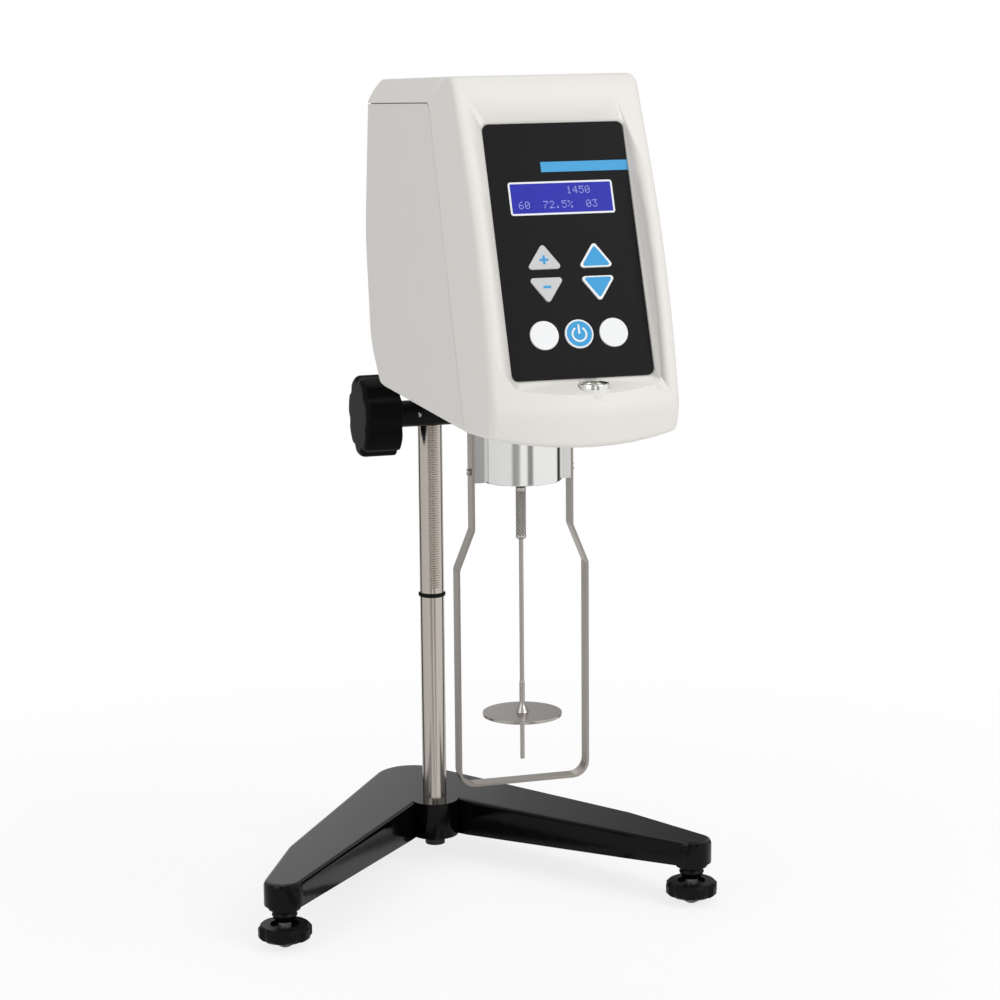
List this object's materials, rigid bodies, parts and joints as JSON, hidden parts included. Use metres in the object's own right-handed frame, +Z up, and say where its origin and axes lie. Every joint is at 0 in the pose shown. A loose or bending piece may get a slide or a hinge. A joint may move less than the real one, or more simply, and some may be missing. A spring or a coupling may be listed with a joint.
{
  "type": "rotational viscometer",
  "caption": "Rotational viscometer: sloped keypad head with a guard-leg disk spindle, clamped by a rack-and-pinion carriage to an upright rod on a V-shaped levelling base.",
  "frame": {"origin": "on the table, under the middle of the whole object's box", "axes": "+Z up, keypad faces -Y, +X to the right seen from the front"},
  "size_m": [0.297, 0.4188, 0.5277],
  "materials": {
    "cast": "gloss black stove enamel on a sand casting",
    "rubber": "matt",
    "steel": "brushed stainless",
    "black_plastic": "satin black moulding",
    "black_metal": "satin black paint",
    "housing": "fine satin moulded, warm white",
    "alu": "machined",
    "chrome": "polished",
    "brass": "machined",
    "nylon": "natural",
    "panel": "printed overlay, satin",
    "key_grey": "satin",
    "key_blue": "satin",
    "key_white": "satin",
    "board": "solder mask",
    "lcd": "lit display",
    "glass": "clear",
    "vial": "tinted fluid"
  },
  "bodies": {
    "stand": {"base_casting": "cast", "rear_foot_pad": "rubber", "rod_screw": "steel", "rod_washer": "steel", "rack_rod": "steel", "stop_ring": "rubber", "lock_nuts": "black_plastic"},
    "levelling_left": {"levelling_stud_left": "steel", "levelling_wheel_left": "black_plastic"},
    "levelling_right": {"levelling_stud_right": "steel", "levelling_wheel_right": "black_plastic"},
    "carriage": {"clamp_body": "black_metal", "tension_insert": "nylon", "tension_screw": "steel", "shaft_screw": "steel"},
    "height_drive": {"pinion_shaft": "steel", "height_knob": "black_plastic"},
    "clamp_drive": {"clamp_screw": "steel", "clamp_knob": "black_plastic"},
    "head": {"mounting_handle": "steel", "rear_cover": "housing", "front_cover": "housing", "bottom_plate": "alu", "pillars": "alu", "motor_plate": "alu", "motor": "black_plastic", "drive_bearing": "steel", "transducer": "black_plastic", "pivot_bearing": "steel", "pivot_cup": "chrome", "guard_brackets": "steel", "guard_leg": "steel", "guard_screws": "steel", "circuit_board": "board", "display_module": "lcd", "display_window": "glass", "keypad_panel": "panel", "level_ring": "chrome", "level_vial": "vial", "power_inlet": "black_plastic", "cover_screws": "steel"},
    "motor_rotor": {"motor_pinion": "brass"},
    "drive": {"drive_gear": "brass", "torsion_spring": "brass"},
    "measuring_set": {"pivot_shaft": "steel", "coupling_nut": "steel", "spindle": "steel"},
    "key_speed_up_body": {"key_speed_up": "key_grey"},
    "key_speed_down_body": {"key_speed_down": "key_grey"},
    "key_spindle_up_body": {"key_spindle_up": "key_blue"},
    "key_spindle_down_body": {"key_spindle_down": "key_blue"},
    "key_motor_body": {"key_motor": "key_white"},
    "key_power_body": {"key_power": "key_blue"},
    "key_range_body": {"key_range": "key_white"}
  },
  "joints": [
    {"name": "levelling_left_turn", "type": "hinge", "parent": "stand", "child": "levelling_left", "pos_m": [-0.132, -0.00819, 0], "axis": [0, 0, 1], "continuous": true},
    {"name": "levelling_right_turn", "type": "hinge", "parent": "stand", "child": "levelling_right", "pos_m": [0.132, -0.00819, 0], "axis": [0, 0, 1], "continuous": true},
    {"name": "height_slide", "type": "slide", "parent": "stand", "child": "carriage", "axis": [0, 0, 1], "range_m": [-0.108, 0.01]},
    {"name": "height_knob_turn", "type": "hinge", "parent": "carriage", "child": "height_drive", "pos_m": [0, 0.11175, 0.3045], "axis": [1, 0, 0], "range_deg": [-96, 1015]},
    {"name": "clamp_knob_turn", "type": "hinge", "parent": "carriage", "child": "clamp_drive", "pos_m": [0, 0.08641, 0.36005], "axis": [1, 0, 0], "range_deg": [-360, 20]},
    {"name": "head_level", "type": "hinge", "parent": "carriage", "child": "head", "pos_m": [0, 0.07841, 0.348], "axis": [0, 1, 0], "range_deg": [-10, 10]},
    {"name": "drive_turn", "type": "hinge", "parent": "head", "child": "drive", "pos_m": [0, -0.07389, 0.39], "axis": [0, 0, 1], "continuous": true},
    {"name": "motor_turn", "type": "hinge", "parent": "head", "child": "motor_rotor", "pos_m": [0, -0.04189, 0.39], "axis": [0, 0, 1], "continuous": true},
    {"name": "spindle_turn", "type": "hinge", "parent": "head", "child": "measuring_set", "pos_m": [0, -0.07389, 0.3], "axis": [0, 0, 1], "continuous": true},
    {"name": "key_speed_up_press", "type": "slide", "parent": "head", "child": "key_speed_up_body", "axis": [0, 0.9259, -0.3778], "range_m": [0, 0.0005], "stiffness_N_per_m": 2000, "springref_m": -0.0002},
    {"name": "key_speed_down_press", "type": "slide", "parent": "head", "child": "key_speed_down_body", "axis": [0, 0.9259, -0.3778], "range_m": [0, 0.0005], "stiffness_N_per_m": 2000, "springref_m": -0.0002},
    {"name": "key_spindle_up_press", "type": "slide", "parent": "head", "child": "key_spindle_up_body", "axis": [0, 0.9259, -0.3778], "range_m": [0, 0.0005], "stiffness_N_per_m": 2000, "springref_m": -0.0002},
    {"name": "key_spindle_down_press", "type": "slide", "parent": "head", "child": "key_spindle_down_body", "axis": [0, 0.9259, -0.3778], "range_m": [0, 0.0005], "stiffness_N_per_m": 2000, "springref_m": -0.0002},
    {"name": "key_motor_press", "type": "slide", "parent": "head", "child": "key_motor_body", "axis": [0, 0.9259, -0.3778], "range_m": [0, 0.0005], "stiffness_N_per_m": 2000, "springref_m": -0.0002},
    {"name": "key_power_press", "type": "slide", "parent": "head", "child": "key_power_body", "axis": [0, 0.9259, -0.3778], "range_m": [0, 0.0005], "stiffness_N_per_m": 2000, "springref_m": -0.0002},
    {"name": "key_range_press", "type": "slide", "parent": "head", "child": "key_range_body", "axis": [0, 0.9259, -0.3778], "range_m": [0, 0.0005], "stiffness_N_per_m": 2000, "springref_m": -0.0002}
  ],
  "couplings": [
    {"joint": "height_knob_turn", "follows": "height_slide", "rad_per_m": -163.62},
    {"joint": "motor_turn", "follows": "drive_turn", "ratio": -4},
    {"joint": "spindle_turn", "follows": "drive_turn", "ratio": 1}
  ]
}
